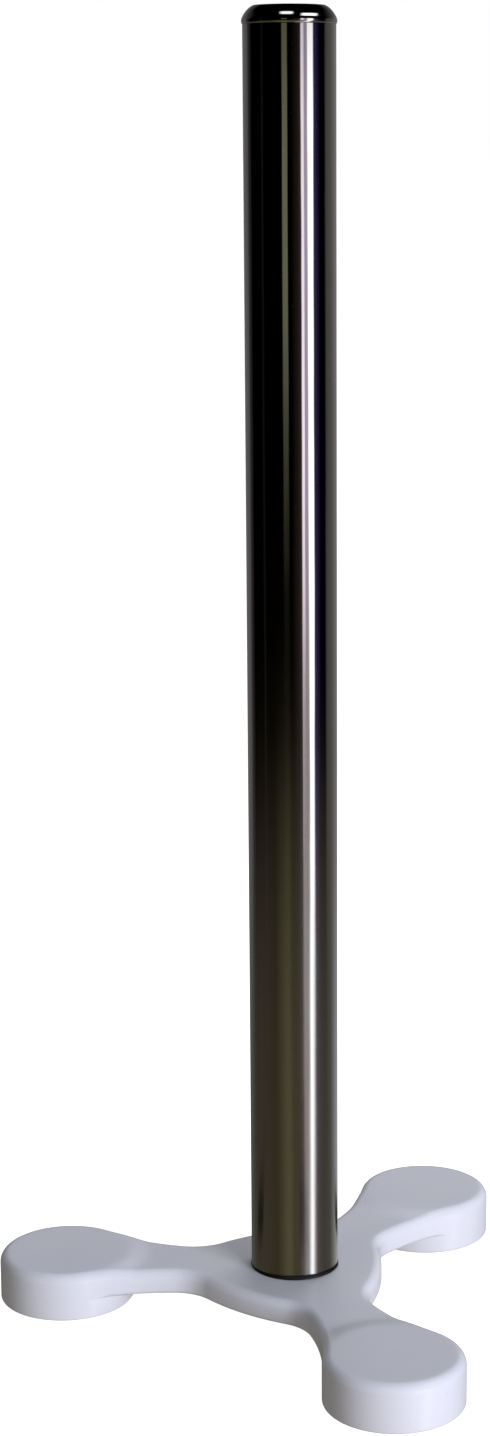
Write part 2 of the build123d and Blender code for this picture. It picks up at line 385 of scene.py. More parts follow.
paper_floor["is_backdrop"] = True

# ---- base casting ---------------------------------------------------------------
# One iron casting: a hub and three necked arms that end in thick round pads. It is
# ground smooth and sprayed with a bluish-white enamel, which softens every edge.

casting_low, casting_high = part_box("base_casting")
pad_top = casting_high.z
casting_bottom = casting_low.z
foot_low, foot_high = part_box("foot_pad_left")
left_pad = (foot_low + foot_high) / 2
pad_distance = tube_axis.x - left_pad.x
pad_radius = left_pad.x - casting_low.x
foot_radius = (foot_high.x - foot_low.x) / 2
foot_top = foot_high.z
arm_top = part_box("base_gasket")[0].z
arm_under = 0.0094
neck_half_width = 0.0150
neck_arc = 0.1050
hub_side_distance = 0.0383
hub_side_arc = 0.1000
hub_corner_arc = 0.0200
top_rounding = 0.0042
under_rounding = 0.0020
under_rounding_fade = 0.0030
foot_rounding = 0.0010
foot_rounding_steps = 5
recess_gap = 0.0002
step_inner = 0.0245
step_outer = 0.0400
spigot_hole = 0.0121
spigot_floor = arm_top - 0.0016
bolt_hole = 0.0055
counterbore = 0.0120
washer_level = arm_under + 0.0040
arm_azimuths = [math.radians(60 + 120 * k) for k in range(3)]
outline_spacing = 0.0009
grid_spacing = 0.0016
rim_clearance = grid_spacing * 0.6
rounding_steps = 10
bore_sides = 96
merge_distance = 2e-6


def unit(azimuth):
    """Plan direction at an angle from +X."""
    return np.array([math.cos(azimuth), math.sin(azimuth)])


def angle_of(vector):
    """The angle of a plan vector from +X."""
    return math.atan2(vector[1], vector[0])


def swung(points, azimuth):
    """Plan points turned about the tube's axis."""
    c, s = math.cos(azimuth), math.sin(azimuth)
    return np.asarray(points) @ np.array([[c, s], [-s, c]])


# the plan of half an arm, on +X about the tube's axis, as arcs that run into each other
pad_centre = np.array([pad_distance, 0.0])
neck_reach = math.sqrt((neck_arc + pad_radius) ** 2 - (neck_arc + neck_half_width) ** 2)
neck_centre = np.array([pad_distance - neck_reach, neck_arc + neck_half_width])
hub_side_centre = unit(math.pi / 3) * (hub_side_distance - hub_side_arc)
neck_to_hub = hub_side_centre - neck_centre
span = np.linalg.norm(neck_to_hub)
to_neck = neck_arc - hub_corner_arc
to_hub = hub_side_arc + hub_corner_arc
along = (span**2 + to_neck**2 - to_hub**2) / (2 * span)
ahead = neck_to_hub / span
aside = np.array([-ahead[1], ahead[0]]) * math.sqrt(to_neck**2 - along**2)
corner_centre = min(
    (neck_centre + ahead * along + aside, neck_centre + ahead * along - aside), key=lambda p: abs(p[1])
)


def arc_columns(centre, radius, start, end, outward):
    """Points along an arc and their outward normals, without the last point."""
    count = max(2, round(abs(end - start) * radius / outline_spacing))
    directions = [unit(start + (end - start) * k / count) for k in range(count)]
    return [np.concatenate([centre + d * radius, d * outward]) for d in directions]


pad_turn = angle_of(neck_centre - pad_centre)
neck_turn = angle_of(corner_centre - neck_centre)
hub_turn = angle_of(corner_centre - hub_side_centre)
pad_half = arc_columns(pad_centre, pad_radius, 0, pad_turn, 1)
neck_half = (
    arc_columns(neck_centre, neck_arc, pad_turn - math.pi, neck_turn, -1)
    + arc_columns(corner_centre, hub_corner_arc, neck_turn, hub_turn - math.pi, -1)
    + arc_columns(hub_side_centre, hub_side_arc, hub_turn, math.pi / 3, 1)
)
hub_middle = [np.concatenate([unit(math.pi / 3) * hub_side_distance, unit(math.pi / 3)])]
across = np.array([1, -1, 1, -1])
half_arm = np.array(pad_half + neck_half + hub_middle)
arm_columns = np.concatenate([(half_arm[1:-1] * across)[::-1], half_arm])
pad_columns = 2 * len(pad_half) + 1
first_pad_column = len(half_arm) - 1 - len(pad_half)

socket = np.array([tube_axis.x, tube_axis.y])
outline = np.concatenate([swung(arm_columns[:, :2], a) for a in arm_azimuths]) + socket
outward = np.concatenate([swung(arm_columns[:, 2:], a) for a in arm_azimuths])
pad_centres = [swung(pad_centre, a) + socket for a in arm_azimuths]


def pad_gap(points):
    """Distance of plan points from the nearest pad's centre."""
    return np.min([np.linalg.norm(points - c, axis=1) for c in pad_centres], axis=0)


def eased_step(t):
    """Rises smoothly from 0 to 1."""
    t = np.clip(t, 0, 1)
    return t**3 * (t * (6 * t - 15) + 10)


def top_height(points):
    """Height of the top face: the pads' round tops stand a little above the arms."""
    across_crease = (pad_gap(points) - step_inner) / (step_outer - step_inner)
    return pad_top - (pad_top - arm_top) * eased_step(across_crease)


def ring_at(points, heights):
    """A ring of plan points at the given height or heights."""
    return np.column_stack([points, np.broadcast_to(heights, len(points))])


def circle(centre, radius, count):
    """Plan points of a circle."""
    return np.array([centre + unit(2 * math.pi * k / count) * radius for k in range(count)])


def skin(rings, closed=False):
    """Points and faces of a skin over rings of equal count; a ring of one point is a tip."""
    points = np.concatenate(rings)
    starts = np.cumsum([0] + [len(ring) for ring in rings])
    count = max(len(ring) for ring in rings)
    faces = []
    pairs = list(range(len(rings))) if closed else list(range(len(rings) - 1))
    for i in pairs:
        j = (i + 1) % len(rings)
        for k in range(count):
            upper = [starts[i] + k % len(rings[i]), starts[i] + (k + 1) % len(rings[i])]
            lower = [starts[j] + (k + 1) % len(rings[j]), starts[j] + k % len(rings[j])]
            corners = list(dict.fromkeys(upper + lower))
            if len(corners) > 2:
                faces.append([int(c) for c in corners])
    return points, faces


def inside(points, loops):
    """Which plan points lie inside the loops, counting loops within loops as holes."""
    within = np.zeros(len(points), dtype=bool)
    for loop in loops:
        for (x1, y1), (x2, y2) in zip(loop, np.roll(loop, -1, axis=0)):
            if y1 != y2:
                spans = (points[:, 1] < y1) != (points[:, 1] < y2)
                within ^= spans & (points[:, 0] < x1 + (points[:, 1] - y1) * (x2 - x1) / (y2 - y1))
    return within


def filled(loops, height):
    """Points and faces over the flat region between loops, at a height for each point."""
    rim = np.concatenate(loops)
    low, high = rim.min(axis=0), rim.max(axis=0)
    rows = np.arange(low[1], high[1], grid_spacing * math.sqrt(3) / 2)
    grid = []
    for i, y in enumerate(rows):
        columns = np.arange(low[0] + (i % 2) * grid_spacing / 2, high[0], grid_spacing)
        grid.append(np.column_stack([columns, np.full(len(columns), y)]))
    grid = np.concatenate(grid)
    grid = grid[inside(grid, loops)]
    nearest = np.full(len(grid), np.inf)
    for point in rim:
        nearest = np.minimum(nearest, np.abs(grid - point).max(axis=1))
    grid = grid[nearest > rim_clearance]
    edges = []
    start = 0
    for loop in loops:
        edges += [(start + k, start + (k + 1) % len(loop)) for k in range(len(loop))]
        start += len(loop)
    points = [Vector(p) for p in np.concatenate([rim, grid])]
    found, _, triangles, _, _, _ = geometry.delaunay_2d_cdt(points, edges, [], 0, 1e-9)
    found = np.array([tuple(p) for p in found])
    centres = np.array([found[list(t)].mean(axis=0) for t in triangles])
    kept = [list(t) for t, good in zip(triangles, inside(centres, loops)) if good]
    return ring_at(found, height(found)), kept


def solid(name, skins, sharp=40):
    """One object from skins that meet: doubles merged, faces outward, smooth but for sharp edges."""
    shape = bmesh.new()
    for points, faces in skins:
        made = [shape.verts.new(p) for p in points]
        for face in faces:
            shape.faces.new([made[c] for c in face])
    bmesh.ops.remove_doubles(shape, verts=shape.verts, dist=merge_distance)
    loose = [v for v in shape.verts if not v.link_faces]
    bmesh.ops.delete(shape, geom=loose, context="VERTS")
    bmesh.ops.recalc_face_normals(shape, faces=shape.faces)
    mesh = bpy.data.meshes.new(name)
    shape.to_mesh(mesh)
    shape.free()
    mesh.shade_smooth()
    mesh.set_sharp_from_angle(angle=math.radians(sharp))
    piece = bpy.data.objects.new(name, mesh)
    bpy.context.scene.collection.objects.link(piece)
    return piece


# the walls, from the inner edge of the top's rounding down to the arms' underside
rim_height = top_height(outline - outward * top_rounding)
tuck = under_rounding * eased_step((pad_gap(outline) - pad_radius) / under_rounding_fade)
wall_rings = []
for k in range(rounding_steps + 1):
    turn = math.pi / 2 * k / rounding_steps
    inset = top_rounding * (1 - math.sin(turn))
    wall_rings.append(ring_at(outline - outward * inset, rim_height - top_rounding * (1 - math.cos(turn))))
for k in range(rounding_steps // 2 + 1):
    turn = math.pi / 2 * k / (rounding_steps // 2)
    inset = tuck * (1 - math.cos(turn))
    height = arm_under + under_rounding * (1 - math.sin(turn))
    wall_rings.append(ring_at(outline - outward * inset[:, None], height))
casting_skins = [skin(wall_rings)]

# each pad goes on down as a full round, with a recess for its rubber foot
under_edge = wall_rings[-1][:, :2]
under_loop = []
for arm, centre in enumerate(pad_centres):
    first = arm * len(arm_columns) + first_pad_column
    shown = under_edge[first : first + pad_columns]
    start = angle_of(shown[-1] - centre)
    sweep = (angle_of(shown[0] - centre) - start) % (2 * math.pi)
    count = round(sweep * pad_radius / outline_spacing)
    hidden = [centre + unit(start + sweep * k / count) * pad_radius for k in range(1, count)]
    rays_out = (np.concatenate([shown, hidden]) - centre) / pad_radius
    levels = [(pad_radius, arm_under)]
    for k in range(foot_rounding_steps + 1):
        turn = math.pi / 2 * k / foot_rounding_steps
        reach = pad_radius - foot_rounding * (1 - math.cos(turn))
        levels.append((reach, casting_bottom + foot_rounding * (1 - math.sin(turn))))
    levels.append((foot_radius + recess_gap, casting_bottom))
    levels.append((foot_radius + recess_gap, foot_top))
    pad_rings = [ring_at(centre + rays_out * reach, height) for reach, height in levels]
    pad_rings.append(ring_at(centre[None, :], foot_top))
    casting_skins.append(skin(pad_rings))
    under_loop.append(under_edge[arm * len(arm_columns) : first])
    under_loop.append(np.array([shown[0], *hidden[::-1], shown[-1]]))
    under_loop.append(under_edge[first + pad_columns : (arm + 1) * len(arm_columns)])

# the hub's bores: the spigot's recess, the bolt hole and the counterbore for the washers
bore_levels = [
    (spigot_hole, arm_top),
    (spigot_hole, spigot_floor),
    (bolt_hole, spigot_floor),
    (bolt_hole, washer_level),
    (counterbore, washer_level),
    (counterbore, arm_under),
]
bore_rings = [ring_at(circle(socket, radius, bore_sides), height) for radius, height in bore_levels]
casting_skins.append(skin(bore_rings))
casting_skins.append(filled([wall_rings[0][:, :2], bore_rings[0][:, :2]], top_height))
under_loops = [np.concatenate(under_loop), bore_rings[-1][:, :2]]
casting_skins.append(filled(under_loops, lambda points: np.full(len(points), arm_under)))
cast_base = solid("cast_base", casting_skins)


def node_group(name, inputs, outputs):
    """A shader node group with named inputs and outputs: its tree, and its two end nodes."""
    group = bpy.data.node_groups.new(name, "ShaderNodeTree")
    for socket_name, kind, default in inputs:
        made = group.interface.new_socket(socket_name, in_out="INPUT", socket_type=kind)
        if default is not None:
            made.default_value = default
    for socket_name, kind in outputs:
        group.interface.new_socket(socket_name, in_out="OUTPUT", socket_type=kind)
    start = group.nodes.new("NodeGroupInput")
    end = group.nodes.new("NodeGroupOutput")
    return group, start.outputs, end.inputs


def use_group(tree, group, **values):
    """Places a node group in a tree, with underscores for the spaces in its input names."""
    made = tree.nodes.new("ShaderNodeGroup")
    made.node_tree = group
    for name, value in values.items():
        feed(tree, made.inputs[name.replace("_", " ")], value)
    return made.outputs


def bumped(tree, shader, height, distance):
    """Feeds a Bump node's normal to the shader."""
    made = tree.nodes.new("ShaderNodeBump")
    made.inputs["Distance"].default_value = distance
    made.inputs["Strength"].default_value = 1.0
    feed(tree, made.inputs["Height"], height)
    feed(tree, shader.inputs["Normal"], made.outputs["Normal"])


# smudges and wiped patches from handling, on paint, plating and polished steel
handling, group_in, group_out = node_group(
    "handling_marks",
    [("Place", "NodeSocketVector", None), ("Patch Scale", "NodeSocketFloat", 30.0)],
    [("Smudge", "NodeSocketFloat"), ("Speck", "NodeSocketFloat")],
)
patches = noise(handling, group_in["Place"], group_in["Patch Scale"], detail=4.0, roughness=0.6)
feed(handling, group_out["Smudge"], rising(handling, patches, 0.40, 0.68))
speck_scale = calc(handling, "MULTIPLY", group_in["Patch Scale"], 22.0)
specks = noise(handling, group_in["Place"], speck_scale, detail=1.0)
feed(handling, group_out["Speck"], rising(handling, specks, 0.74, 0.80))

enamel, tree, shader, place = new_material("bluish_white_enamel")
marks = use_group(tree, handling, Place=place, Patch_Scale=28.0)
enamel_colour = graded(
    tree,
    noise(tree, place, 11.0, detail=3.0),
    [(0.30, (0.770, 0.775, 0.830)), (0.55, (0.800, 0.800, 0.850)), (0.75, (0.785, 0.795, 0.860))],
)
faint_specks = calc(tree, "MULTIPLY", marks["Speck"], 0.25)
enamel_colour = blended(tree, faint_specks, enamel_colour, (0.50, 0.49, 0.50))
feed(tree, shader.inputs["Base Color"], enamel_colour)
feed(tree, shader.inputs["Roughness"], rising(tree, marks["Smudge"], 0.0, 1.0, 0.40, 0.50))
shader.inputs["Specular IOR Level"].default_value = 0.5
shader.inputs["Coat Weight"].default_value = 0.5
shader.inputs["Coat Roughness"].default_value = 0.16
orange_peel = noise(tree, place, 420.0, detail=2.0)
sand_marks = noise(tree, place, 90.0, detail=3.0)
peel = calc(tree, "ADD", orange_peel, calc(tree, "MULTIPLY", sand_marks, 1.5))
bumped(tree, shader, peel, 0.00004)
cast_base.data.materials.append(enamel)
# the room alone makes the reflections in the tube and the collar
cast_base.visible_glossy = False
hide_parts("base_casting")
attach(cast_base, "root")

# ---- rubber feet ----------------------------------------------------------------
# Three black rubber discs, moulded with rings of half-round ribs on the face that
# grips the floor, and glued into the pads' recesses.

foot_edge = 0.0005
rib_first_radius = 0.0040
rib_spacing = 0.0034
rib_count = 6
rib_width = 0.0012
ring_sides = 192


def eased(corners, steps=5):
    """A profile whose (radius, height, rounding) corners are rounded, as (radius, height) points."""
    points = []
    for k, (radius, height, rounding) in enumerate(corners):
        here = Vector((radius, height))
        if rounding == 0:
            points.append((radius, height))
            continue
        back = (Vector(corners[k - 1][:2]) - here).normalized()
        on = (Vector(corners[(k + 1) % len(corners)][:2]) - here).normalized()
        half = back.angle(on) / 2
        centre = here + (back + on).normalized() * (rounding / math.sin(half))
        start = (here + back * (rounding / math.tan(half)) - centre).normalized()
        end = (here + on * (rounding / math.tan(half)) - centre).normalized()
        for i in range(steps + 1):
            points.append(tuple(centre + start.slerp(end, i / steps) * rounding))
    return points


def turned(profile, centre=socket, count=ring_sides):
    """The skin of a closed (radius, height) profile turned about an upright axis."""
    rings = []
    for radius, height in profile:
        points = circle(centre, radius, count) if radius > 0 else centre[None, :]
        rings.append(ring_at(points, height))
    return skin(rings, closed=True)


def geometry_tree(name, inputs):
    """A Geometry Nodes tree with named inputs: its tree, and its two end nodes' sockets."""
    tree = bpy.data.node_groups.new(name, "GeometryNodeTree")
    tree.interface.new_socket("Geometry", in_out="INPUT", socket_type="NodeSocketGeometry")
    for socket_name, kind in inputs:
        tree.interface.new_socket(socket_name, in_out="INPUT", socket_type=kind)
    tree.interface.new_socket("Geometry", in_out="OUTPUT", socket_type="NodeSocketGeometry")
    start = tree.nodes.new("NodeGroupInput")
    end = tree.nodes.new("NodeGroupOutput")
    return tree, start.outputs, end.inputs


def geometry_node(tree, kind, **values):
    """A node of a Geometry Nodes tree, with underscores for the spaces in its input names."""
    made = tree.nodes.new(kind)
    for name, value in values.items():
        feed(tree, made.inputs[name.replace("_", " ")], value)
    return made


def grown(piece, tree, material, values):
    """Runs a Geometry Nodes tree on a piece and keeps the result as its plain mesh."""
    modifier = piece.modifiers.new(tree.name, "NODES")
    modifier.node_group = tree
    for item in tree.interface.items_tree:
        if item.in_out == "INPUT" and item.socket_type == "NodeSocketMaterial":
            modifier[item.identifier] = material
        elif item.in_out == "INPUT" and item.name in values:
            modifier[item.identifier] = values[item.name]
    evaluated = piece.evaluated_get(bpy.context.evaluated_depsgraph_get())
    mesh = bpy.data.meshes.new_from_object(evaluated)
    mesh.polygons.foreach_set("material_index", [0] * len(mesh.polygons))
    mesh.materials.clear()
    mesh.materials.append(material)
    piece.modifiers.remove(modifier)
    piece.data = mesh


def added_to_piece(tree, tree_in, tree_out, extra, place, material):
    """Ends a tree: puts what it made in its place, joins it to the piece and sets one material."""
    moved = geometry_node(tree, "GeometryNodeTransform", Geometry=extra, Translation=place)
    joined = tree.nodes.new("GeometryNodeJoinGeometry")
    tree.links.new(tree_in["Geometry"], joined.inputs[0])
    tree.links.new(moved.outputs[0], joined.inputs[0])
    plain = geometry_node(tree, "GeometryNodeRealizeInstances", Geometry=joined.outputs[0])
    painted = geometry_node(tree, "GeometryNodeSetMaterial", Geometry=plain.outputs[0], Material=material)
    tree.links.new(painted.outputs[0], tree_out["Geometry"])


grain, group_in, group_out = node_group(
    "moulded_grain",
    [("Place", "NodeSocketVector", None), ("Grain Scale", "NodeSocketFloat", 900.0)],
    [("Height", "NodeSocketFloat"), ("Bloom", "NodeSocketFloat")],
)
feed(grain, group_out["Height"], noise(grain, group_in["Place"], group_in["Grain Scale"], detail=4.0))
feed(grain, group_out["Bloom"], rising(grain, noise(grain, group_in["Place"], 60.0, detail=5.0), 0.42, 0.72))


def moulded(name, grain_scale, colours, roughnesses, grain_height):
    """Rubber or nylon, by its colour and roughness where it's clean and where it has bloomed."""
    material, tree, shader, place = new_material(name)
    texture = use_group(tree, grain, Place=place, Grain_Scale=grain_scale)
    feed(tree, shader.inputs["Base Color"], blended(tree, texture["Bloom"], *colours))
    feed(tree, shader.inputs["Roughness"], rising(tree, texture["Bloom"], 0.0, 1.0, *roughnesses))
    bumped(tree, shader, texture["Height"], grain_height)
    return material


rubber = moulded(
    "moulded_rubber",
    grain_scale=700.0,
    colours=((0.022, 0.022, 0.024), (0.060, 0.058, 0.056)),
    roughnesses=(0.62, 0.85),
    grain_height=0.00008,
)

ribs, rib_in, rib_out = geometry_tree(
    "moulded_ribs",
    [
        ("Centre", "NodeSocketVector"),
        ("First Radius", "NodeSocketFloat"),
        ("Spacing", "NodeSocketFloat"),
        ("Rib Count", "NodeSocketInt"),
        ("Rib Width", "NodeSocketFloat"),
        ("Rubber", "NodeSocketMaterial"),
    ],
)
dots = geometry_node(ribs, "GeometryNodePoints", Count=rib_in["Rib Count"])
number = geometry_node(ribs, "GeometryNodeInputIndex")
rib_radius = calc(ribs, "MULTIPLY_ADD", number.outputs[0], rib_in["Spacing"], rib_in["First Radius"])
rib_scale = geometry_node(ribs, "ShaderNodeCombineXYZ", X=rib_radius, Y=rib_radius, Z=1.0)
rib_circle = geometry_node(ribs, "GeometryNodeCurvePrimitiveCircle", Resolution=128, Radius=1.0)
rib_rings = geometry_node(
    ribs,
    "GeometryNodeInstanceOnPoints",
    Points=dots.outputs[0],
    Instance=rib_circle.outputs["Curve"],
    Scale=rib_scale.outputs[0],
)
loose_rings = geometry_node(ribs, "GeometryNodeRealizeInstances", Geometry=rib_rings.outputs[0])
half_width = calc(ribs, "MULTIPLY", rib_in["Rib Width"], 0.5)
rib_section = geometry_node(ribs, "GeometryNodeCurvePrimitiveCircle", Resolution=12, Radius=half_width)
rib_sweep = geometry_node(
    ribs, "GeometryNodeCurveToMesh", Curve=loose_rings.outputs[0], Profile_Curve=rib_section.outputs["Curve"]
)
added_to_piece(ribs, rib_in, rib_out, rib_sweep.outputs[0], rib_in["Centre"], rib_in["Rubber"])

for pad_name in ("left", "rear", "front"):
    node = f"foot_pad_{pad_name}"
    low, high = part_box(node)
    middle = (low + high) / 2
    face = low.z + rib_width / 2
    profile = eased(
        [
            (0, face, 0),
            (foot_radius, face, foot_edge),
            (foot_radius, high.z, foot_edge / 2),
            (0, high.z, 0),
        ]
    )
    rubber_foot = solid(f"rubber_foot_{pad_name}", [turned(profile, np.array(middle.xy))])
    grown(
        rubber_foot,
        ribs,
        rubber,
        {
            "Centre": (middle.x, middle.y, face),
            "First Radius": rib_first_radius,
            "Spacing": rib_spacing,
            "Rib Count": rib_count,
            "Rib Width": rib_width,
        },
    )
    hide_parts(node)
    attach(rubber_foot, "root")

# ---- sealing ring ---------------------------------------------------------------
# A thin ring of soft black rubber between the tube's end and the casting. The bolt
# squeezes it out unevenly, so it shows as a bead on the side nearest the left arm.

gasket_low, gasket_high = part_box("base_gasket")
tube_radius = (tube_high.x - tube_low.x) / 2
gasket_middle = (gasket_low.z + gasket_high.z) / 2
gasket_thickness = gasket_high.z - gasket_low.z
squeeze_start = tube_radius + 0.00005
squeeze_width = 0.00020
squeeze_steps = 13
bead_azimuth = math.radians(-112)
bead_spread = 0.9
bead_fullness = 1.5
bead_width = 0.00085
bead_height = 0.00135
gasket_rings = []
for k in range(squeeze_steps + 1):
    turn = math.pi * k / squeeze_steps
    ring = []
    for i in range(ring_sides):
        azimuth = 2 * math.pi * i / ring_sides
        swell = max(0.0, math.cos((azimuth - bead_azimuth) * bead_spread)) ** bead_fullness
        reach = squeeze_start + (squeeze_width + bead_width * swell) * math.sin(turn)
        bead_top = bead_height * swell * (1 + math.cos(turn)) / 2
        height = gasket_middle + (gasket_thickness / 2) * math.cos(turn) + bead_top
        point = socket + unit(azimuth) * reach
        ring.append((point[0], point[1], height))
    gasket_rings.append(np.array(ring))
for height in (gasket_low.z, gasket_high.z):
    gasket_rings.append(ring_at(circle(socket, spigot_hole, ring_sides), height))
gasket_rings.append(ring_at(circle(socket, tube_radius, ring_sides), gasket_high.z))
sealing_ring = solid("sealing_ring", [skin(gasket_rings, closed=True)], sharp=60)

seal_rubber = moulded(
    "soft_seal_rubber",
    grain_scale=1500.0,
    colours=((0.006, 0.006, 0.007), (0.014, 0.013, 0.013)),
    roughnesses=(0.40, 0.55),
    grain_height=0.00003,
)
sealing_ring.data.materials.append(seal_rubber)
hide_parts("base_gasket")
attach(sealing_ring, "root")

# ---- tube plug ------------------------------------------------------------------
# A turned steel plug bonded into the tube's lower end. Its spigot drops into the
# casting, and its blind tapped hole takes the bolt.

plug_low, plug_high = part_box("tube_plug")
plug_radius = (plug_high.x - plug_low.x) / 2
plug_spigot = 0.0120
tapped_hole = 0.0050
tapped_depth = 0.0250
drill_point = 0.0020
plug_profile = eased(
    [
        (tapped_hole, plug_low.z, 0.0004),
        (plug_spigot, plug_low.z, 0.0004),
        (plug_spigot, tube_low.z, 0),
        (plug_radius, tube_low.z, 0.0003),
        (plug_radius, plug_high.z, 0.0010),
        (0, plug_high.z, 0),
        (0, plug_low.z + tapped_depth + drill_point, 0),
        (tapped_hole, plug_low.z + tapped_depth, 0),
    ]
)
threaded_plug = solid("threaded_plug", [turned(plug_profile)], sharp=30)

# fine rings left by the lathe on every turned face
turning, group_in, group_out = node_group(
    "turning_marks",
    [("Place", "NodeSocketVector", None), ("Marks per Metre", "NodeSocketFloat", 6000.0)],
    [("Height", "NodeSocketFloat")],
)
centred = turning.nodes.new("ShaderNodeVectorMath")
centred.operation = "SUBTRACT"
feed(turning, centred.inputs[0], group_in["Place"])
centred.inputs[1].default_value = tube_axis
apart = turning.nodes.new("ShaderNodeSeparateXYZ")
feed(turning, apart.inputs[0], centred.outputs[0])
x_squared = calc(turning, "POWER", apart.outputs["X"], 2.0)
y_squared = calc(turning, "POWER", apart.outputs["Y"], 2.0)
from_axis = calc(turning, "SQRT", calc(turning, "ADD", x_squared, y_squared))
lathe_place = turning.nodes.new("ShaderNodeCombineXYZ")
feed(turning, lathe_place.inputs["X"], from_axis)
feed(turning, lathe_place.inputs["Y"], apart.outputs["Z"])
lathe_lines = noise(turning, lathe_place.outputs[0], group_in["Marks per Metre"], detail=1.0)
feed(turning, group_out["Height"], lathe_lines)


def lathe_finished(name, colours, roughnesses, marks_per_metre, mark_depth):
    """Bare steel from the lathe, by its colour and roughness where it's clean and where smudged."""
    material, tree, shader, place = new_material(name)
    marks = use_group(tree, handling, Place=place, Patch_Scale=60.0)
    feed(tree, shader.inputs["Base Color"], blended(tree, marks["Smudge"], *colours))
    feed(tree, shader.inputs["Roughness"], rising(tree, marks["Smudge"], 0.0, 1.0, *roughnesses))
    shader.inputs["Metallic"].default_value = 1.0
    lines = use_group(tree, turning, Place=place, Marks_per_Metre=marks_per_metre)
    bumped(tree, shader, lines["Height"], mark_depth)
    return material


turned_steel = lathe_finished(
    "lathe_turned_steel",
    colours=((0.52, 0.52, 0.53), (0.44, 0.43, 0.42)),
    roughnesses=(0.30, 0.42),
    marks_per_metre=4000.0,
    mark_depth=0.00002,
)
threaded_plug.data.materials.append(turned_steel)
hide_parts("tube_plug")
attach(threaded_plug, "root")

# ---- washers and bolt -----------------------------------------------------------
# A plain washer, a split spring washer and an M10 hexagon bolt, all zinc plated. They
# draw the plug down on to the casting from beneath.

washer_hole = 0.00525
washer_edge = 0.00025
spring_slot = math.radians(8)
spring_steps = 160
bolt_core = 0.00418
thread_middle = 0.00420
thread_depth = 0.00075
thread_pitch = 0.0015
bolt_point = 0.0010
head_corner_facets = 12
head_crown = 0.0008

zinc, tree, shader, place = new_material("zinc_plating")
marks = use_group(tree, handling, Place=place, Patch_Scale=90.0)
zinc_tint = blended(tree, marks["Smudge"], (0.62, 0.64, 0.67), (0.54, 0.54, 0.50))
feed(tree, shader.inputs["Base Color"], blended(tree, marks["Speck"], zinc_tint, (0.80, 0.80, 0.78)))
feed(tree, shader.inputs["Roughness"], rising(tree, marks["Smudge"], 0.0, 1.0, 0.28, 0.45))
shader.inputs["Metallic"].default_value = 1.0
bumped(tree, shader, noise(tree, place, 1800.0), 0.00002)


def washer_profile(node):
    """The section of a plain or spring washer, with its edges broken."""
    low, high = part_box(node)
    outer = (high.y - low.y) / 2
    corners = [(washer_hole, low.z), (outer, low.z), (outer, high.z), (washer_hole, high.z)]
    return eased([(*corner, washer_edge) for corner in corners], steps=3)


plain_washer = solid("plain_washer", [turned(washer_profile("flat_washer"))])
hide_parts("flat_washer")

spring_profile = washer_profile("lock_washer")
spring_rings = []
for i in range(spring_steps + 1):
    direction = unit(spring_slot / 2 + (2 * math.pi - spring_slot) * i / spring_steps)
    section = [(*(socket + direction * radius), height) for radius, height in spring_profile]
    spring_rings.append(np.array(section))
spring_points, spring_faces = skin(spring_rings)
section_count = len(spring_rings[0])
spring_faces.append(list(range(section_count)))
spring_faces.append(list(range(len(spring_points) - section_count, len(spring_points))))
spring_washer = solid("spring_washer", [(spring_points, spring_faces)])
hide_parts("lock_washer")

bolt_low, bolt_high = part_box("draw_bolt")
head_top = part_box("lock_washer")[0].z
head_corner = max(bolt_high.x - bolt_low.x, bolt_high.y - bolt_low.y) / 2
head_flat = head_corner * math.cos(math.pi / 6)
head_count = 6 * head_corner_facets
corner_first = 0 if bolt_high.x - bolt_low.x > bolt_high.y - bolt_low.y else math.pi / 6
head_directions = np.array([unit(2 * math.pi * k / head_count) for k in range(head_count)])
from_corner = [(2 * math.pi * k / head_count - corner_first) % (math.pi / 3) for k in range(head_count)]
head_reach = np.array([head_flat / math.cos(a - math.pi / 6) for a in from_corner])
crown_start = head_flat - head_crown
crown_rise = head_crown * (head_reach - crown_start) / (head_corner - crown_start)
bolt_rings = [
    ring_at(socket[None, :], bolt_low.z),
    ring_at(socket + head_directions * crown_start, bolt_low.z),
    ring_at(socket + head_directions * head_reach[:, None], bolt_low.z + crown_rise),
    ring_at(socket + head_directions * head_reach[:, None], head_top),
    ring_at(socket + head_directions * bolt_core, head_top),
    ring_at(socket + head_directions * bolt_core, bolt_high.z - bolt_point / 2),
    ring_at(socket + head_directions * (bolt_core - bolt_point / 2), bolt_high.z),
    ring_at(socket[None, :], bolt_high.z),
]
hexagon_bolt = solid("hexagon_bolt", [skin(bolt_rings)], sharp=25)

thread, thread_in, thread_out = geometry_tree(
    "rolled_thread",
    [
        ("Start", "NodeSocketVector"),
        ("Length", "NodeSocketFloat"),
        ("Pitch", "NodeSocketFloat"),
        ("Middle Radius", "NodeSocketFloat"),
        ("Depth", "NodeSocketFloat"),
        ("Plating", "NodeSocketMaterial"),
    ],
)
helix = geometry_node(
    thread,
    "GeometryNodeCurveSpiral",
    Resolution=48,
    Rotations=calc(thread, "DIVIDE", thread_in["Length"], thread_in["Pitch"]),
    Start_Radius=thread_in["Middle Radius"],
    End_Radius=thread_in["Middle Radius"],
    Height=thread_in["Length"],
)
upright = geometry_node(thread, "GeometryNodeSetCurveNormal", Curve=helix.outputs[0])
upright.mode = "Z_UP"
ridge = geometry_node(thread, "GeometryNodeCurvePrimitiveCircle", Resolution=4, Radius=thread_in["Depth"])
ridge_sweep = geometry_node(
    thread,
    "GeometryNodeCurveToMesh",
    Curve=upright.outputs[0],
    Profile_Curve=ridge.outputs["Curve"],
    Fill_Caps=True,
)
added_to_piece(
    thread, thread_in, thread_out, ridge_sweep.outputs[0], thread_in["Start"], thread_in["Plating"]
)
